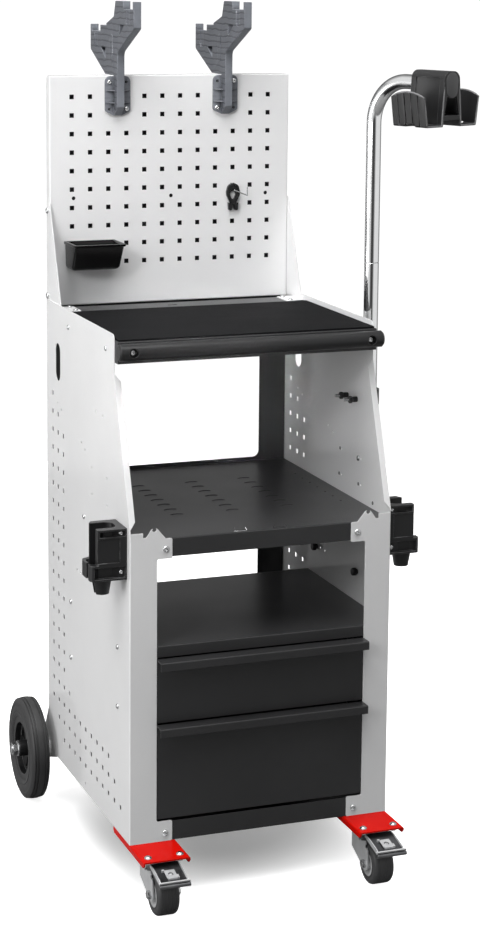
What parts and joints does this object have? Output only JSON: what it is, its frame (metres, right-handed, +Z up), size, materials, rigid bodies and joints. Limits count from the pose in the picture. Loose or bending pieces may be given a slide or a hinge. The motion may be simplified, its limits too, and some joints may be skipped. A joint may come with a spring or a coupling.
{
  "type": "dent repair tool trolley",
  "caption": "Tall workshop trolley with a perforated backboard, shelves, drawers, hooks, tool holders and a cradle on a swinging pole, on casters and big rear wheels.",
  "frame": {"origin": "centre of the whole outline, on the floor", "axes": "+Z up, +X to the right as seen from the drawers, +Y from the drawers towards the backboard"},
  "size_m": [0.7895, 0.855, 1.692],
  "materials": {
    "white_coat": "gloss powder coat",
    "dark_coat": "fine textured powder coat",
    "red_coat": "gloss paint",
    "grey_plastic": "layered matt",
    "black_plastic": "matt",
    "mat_rubber": "fine ribbed",
    "tyre_rubber": "matt",
    "hub_plastic": "satin",
    "bright_chrome": "bright",
    "bright_zinc": "zinc plated",
    "dark_zinc": "dark plated"
  },
  "bodies": {
    "frame": {"axle_nuts": "bright_zinc", "axle_spacers": "bright_zinc", "backboard": "white_coat", "bottom_tray": "dark_coat", "caster_base_left": "bright_zinc", "caster_base_right": "bright_zinc", "caster_bolts": "bright_zinc", "caster_plate_left": "red_coat", "caster_plate_right": "red_coat", "clamp_bolts": "bright_zinc", "clip_wire": "bright_zinc", "drawer_cover": "dark_coat", "frame_bolts": "bright_zinc", "gussets": "white_coat", "handle_bar": "black_plastic", "handle_screws": "bright_zinc", "holder_left": "black_plastic", "holder_right": "black_plastic", "holder_screws": "bright_zinc", "hook_left": "grey_plastic", "hook_right": "grey_plastic", "hook_screws": "bright_zinc", "mid_shelf": "dark_coat", "panel_screws": "bright_zinc", "parts_bin": "black_plastic", "pole_clamp": "black_plastic", "pole_lower": "bright_chrome", "rear_axle": "bright_zinc", "rear_panel": "dark_coat", "side_panel_left": "white_coat", "side_panel_right": "white_coat", "slide_posts": "bright_zinc", "slide_rails": "bright_zinc", "tool_clip": "black_plastic", "top_mat": "mat_rubber", "top_shelf": "dark_coat"},
    "upper_drawer": {"upper_drawer_front": "dark_coat", "upper_drawer_box": "dark_coat", "upper_slide_inners": "bright_zinc"},
    "lower_drawer": {"lower_drawer_front": "dark_coat", "lower_drawer_box": "dark_coat", "lower_slide_inners": "bright_zinc"},
    "upper_slides": {"upper_slide_middles": "bright_zinc"},
    "lower_slides": {"lower_slide_middles": "bright_zinc"},
    "arm": {"pole_upper": "bright_chrome", "pole_head": "black_plastic"},
    "caster_left": {"caster_fork_left": "bright_zinc", "caster_pins_left": "bright_zinc"},
    "caster_wheel_left": {"caster_tyre_left": "tyre_rubber", "caster_hub_left": "hub_plastic"},
    "brake_left": {"brake_pedal_left": "dark_zinc"},
    "rear_wheel_left": {"rear_tyre_left": "tyre_rubber", "rear_rim_left": "black_plastic"},
    "caster_right": {"caster_fork_right": "bright_zinc", "caster_pins_right": "bright_zinc"},
    "caster_wheel_right": {"caster_tyre_right": "tyre_rubber", "caster_hub_right": "hub_plastic"},
    "brake_right": {"brake_pedal_right": "dark_zinc"},
    "rear_wheel_right": {"rear_tyre_right": "tyre_rubber", "rear_rim_right": "black_plastic"}
  },
  "joints": [
    {"name": "upper_drawer_pull", "type": "slide", "parent": "frame", "child": "upper_drawer", "axis": [0, -1, 0], "range_m": [0, 0.345]},
    {"name": "upper_slide_run", "type": "slide", "parent": "frame", "child": "upper_slides", "axis": [0, -1, 0], "range_m": [0, 0.1725]},
    {"name": "lower_drawer_pull", "type": "slide", "parent": "frame", "child": "lower_drawer", "axis": [0, -1, 0], "range_m": [0, 0.345]},
    {"name": "lower_slide_run", "type": "slide", "parent": "frame", "child": "lower_slides", "axis": [0, -1, 0], "range_m": [0, 0.1725]},
    {"name": "caster_swivel_left", "type": "hinge", "parent": "frame", "child": "caster_left", "pos_m": [-0.27412, -0.3175, 0.096], "axis": [0, 0, 1], "continuous": true},
    {"name": "caster_roll_left", "type": "hinge", "parent": "caster_left", "child": "caster_wheel_left", "pos_m": [-0.27412, -0.3535, 0.041], "axis": [1, 0, 0], "continuous": true},
    {"name": "brake_press_left", "type": "hinge", "parent": "caster_left", "child": "brake_left", "pos_m": [-0.27412, -0.3395, 0.087], "axis": [1, 0, 0], "range_deg": [0, 8]},
    {"name": "rear_roll_left", "type": "hinge", "parent": "frame", "child": "rear_wheel_left", "pos_m": [-0.35612, 0.3085, 0.1075], "axis": [1, 0, 0], "continuous": true},
    {"name": "caster_swivel_right", "type": "hinge", "parent": "frame", "child": "caster_right", "pos_m": [0.16388, -0.3175, 0.096], "axis": [0, 0, 1], "continuous": true},
    {"name": "caster_roll_right", "type": "hinge", "parent": "caster_right", "child": "caster_wheel_right", "pos_m": [0.16388, -0.3535, 0.041], "axis": [1, 0, 0], "continuous": true},
    {"name": "brake_press_right", "type": "hinge", "parent": "caster_right", "child": "brake_right", "pos_m": [0.16388, -0.3395, 0.087], "axis": [1, 0, 0], "range_deg": [0, 8]},
    {"name": "rear_roll_right", "type": "hinge", "parent": "frame", "child": "rear_wheel_right", "pos_m": [0.24588, 0.3085, 0.1075], "axis": [1, 0, 0], "continuous": true},
    {"name": "arm_swing", "type": "hinge", "parent": "frame", "child": "arm", "pos_m": [0.24538, -0.0955, 1.183], "axis": [0, 0, 1], "continuous": true}
  ],
  "couplings": [
    {"joint": "upper_slide_run", "follows": "upper_drawer_pull", "ratio": 0.5},
    {"joint": "lower_slide_run", "follows": "lower_drawer_pull", "ratio": 0.5}
  ]
}
